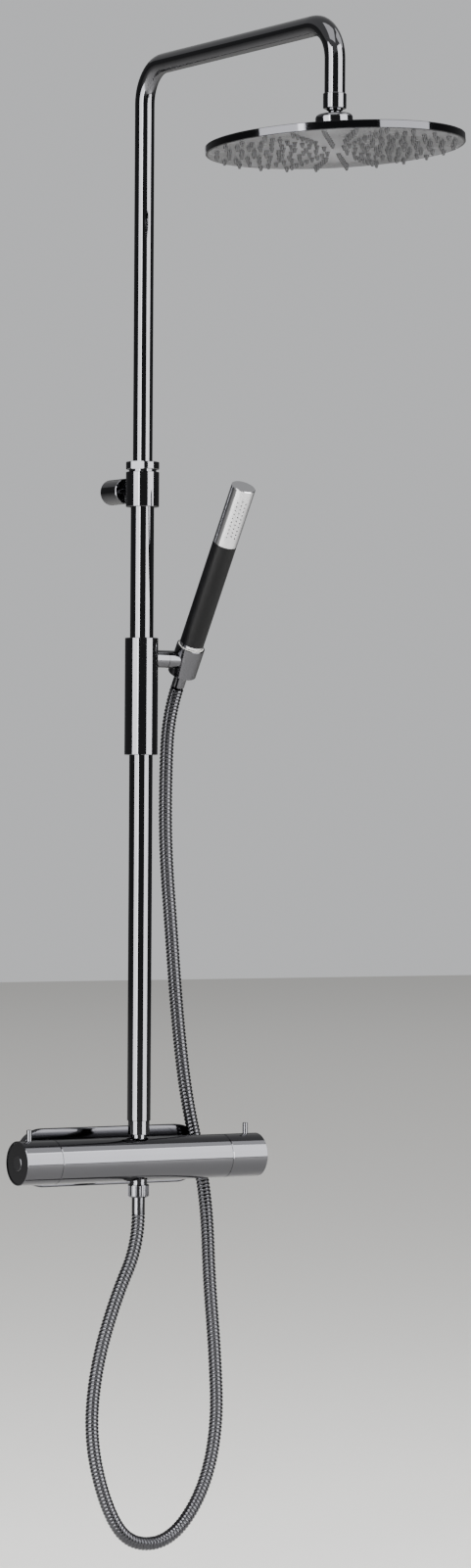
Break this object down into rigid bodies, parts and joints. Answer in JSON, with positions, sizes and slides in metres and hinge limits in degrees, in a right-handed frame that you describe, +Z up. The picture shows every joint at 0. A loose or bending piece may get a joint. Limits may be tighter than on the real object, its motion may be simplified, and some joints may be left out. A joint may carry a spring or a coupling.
{
  "type": "rainfall shower column",
  "caption": "Wall-hung thermostatic rain-shower column: mixer bar, telescopic riser with bent arm, thin round rain head, sliding holder with stick hand shower on a metal hose.",
  "frame": {"origin": "on the wall plane, at the back of the wall plate, midway between the two inlets", "axes": "+Z up along the riser, +Y into the wall, the rain head and the user are towards -Y, +X to the right of a user who faces the wall"},
  "size_m": [0.286, 0.5377, 1.525],
  "materials": {
    "black_chrome": "polished black chrome on brass",
    "bright_chrome": "polished",
    "satin_steel": "satin",
    "hose_metal": "polished black, wound metal strip",
    "satin_black": "satin",
    "silicone": "matte",
    "acetal": "moulded",
    "fibre": "fibre washer",
    "brass": "machined",
    "zinc_plate": "pressed and plated"
  },
  "bodies": {
    "column": {"wall_plate_cover": "black_chrome", "wall_plate_backing": "zinc_plate", "inlet_couplers": "black_chrome", "inlet_union_nuts": "black_chrome", "check_valves": "acetal", "fibre_washers": "fibre", "mixer_body": "black_chrome", "thermostat_cartridge": "acetal", "flow_cartridge": "acetal", "cartridge_nuts": "brass", "riser_outlet_nipple": "black_chrome", "riser_base_nut": "black_chrome", "riser_foot_plug": "brass", "lower_tube": "black_chrome", "collar_body": "black_chrome", "collar_lock_nut": "black_chrome", "collar_clamp_ring": "acetal", "bracket_wall_foot": "brass", "bracket_set_screw": "brass", "bracket_barrel": "black_chrome", "bracket_spindle": "brass", "hand_outlet_nipple": "black_chrome", "hose_nut": "black_chrome", "hose_ferrule_lower": "black_chrome", "shower_hose": "hose_metal"},
    "temperature_control": {"temperature_knob": "black_chrome", "temperature_peg": "black_chrome", "temperature_cap": "black_chrome", "thermostat_spindle": "brass"},
    "flow_control": {"flow_knob": "black_chrome", "flow_peg": "black_chrome", "flow_cap": "black_chrome", "flow_spindle": "brass"},
    "riser_guide": {"riser_guide_bush": "acetal"},
    "arm": {"upper_pipe": "black_chrome", "pipe_foot_plug": "brass", "head_nut": "black_chrome", "head_washer": "fibre", "swivel_ball": "black_chrome"},
    "head_swivel": {"ball_seat_ring": "acetal"},
    "rain_head": {"head_flange": "black_chrome", "head_shell": "black_chrome", "head_face_plate": "satin_steel", "nozzle_mat": "silicone"},
    "slider": {"slider_sleeve": "black_chrome", "slider_bushes": "acetal", "slider_brake_shoe": "acetal", "holder_arm": "black_chrome", "holder_pivot_pin": "brass"},
    "holder": {"holder_cup": "black_chrome", "holder_liner": "acetal"},
    "hand_shower": {"hand_cone_nut": "black_chrome", "hose_ferrule_upper": "black_chrome", "hand_core_tube": "brass", "hand_base_ring": "bright_chrome", "hand_grip": "satin_black", "hand_spray_tube": "bright_chrome", "spray_insert": "silicone", "hand_cap": "bright_chrome"}
  },
  "joints": [
    {"name": "temperature_turn", "type": "hinge", "parent": "column", "child": "temperature_control", "pos_m": [0.122, -0.062, 0], "axis": [1, 0, 0], "range_deg": [-60, 120]},
    {"name": "flow_turn", "type": "hinge", "parent": "column", "child": "flow_control", "pos_m": [-0.122, -0.062, 0], "axis": [1, 0, 0], "range_deg": [-90, 90]},
    {"name": "riser_height", "type": "slide", "parent": "column", "child": "riser_guide", "axis": [0, 0, 1], "range_m": [-0.28, 0.03]},
    {"name": "riser_swivel", "type": "hinge", "parent": "riser_guide", "child": "arm", "pos_m": [0, -0.062, 0.37], "axis": [0, 0, 1], "range_deg": [-75, 75]},
    {"name": "head_tilt_x", "type": "hinge", "parent": "arm", "child": "head_swivel", "pos_m": [0, -0.412, 1.011], "axis": [1, 0, 0], "range_deg": [-7.7, 12.3]},
    {"name": "head_tilt_y", "type": "hinge", "parent": "head_swivel", "child": "rain_head", "pos_m": [0, -0.412, 1.011], "axis": [0, 1, 0], "range_deg": [-7.7, 12.3]},
    {"name": "slider_height", "type": "slide", "parent": "column", "child": "slider", "axis": [0, 0, 1], "range_m": [-0.2, 0.12], "deforming": ["shower_hose"]},
    {"name": "holder_tilt", "type": "hinge", "parent": "slider", "child": "holder", "pos_m": [0.054, -0.062, 0.511], "axis": [1, 0, 0], "range_deg": [-25, 20], "deforming": ["shower_hose"]},
    {"name": "hand_shower_lift", "type": "slide", "parent": "holder", "child": "hand_shower", "axis": [0, -0.5299, 0.848], "range_m": [0, 0.035], "deforming": ["shower_hose"]}
  ]
}
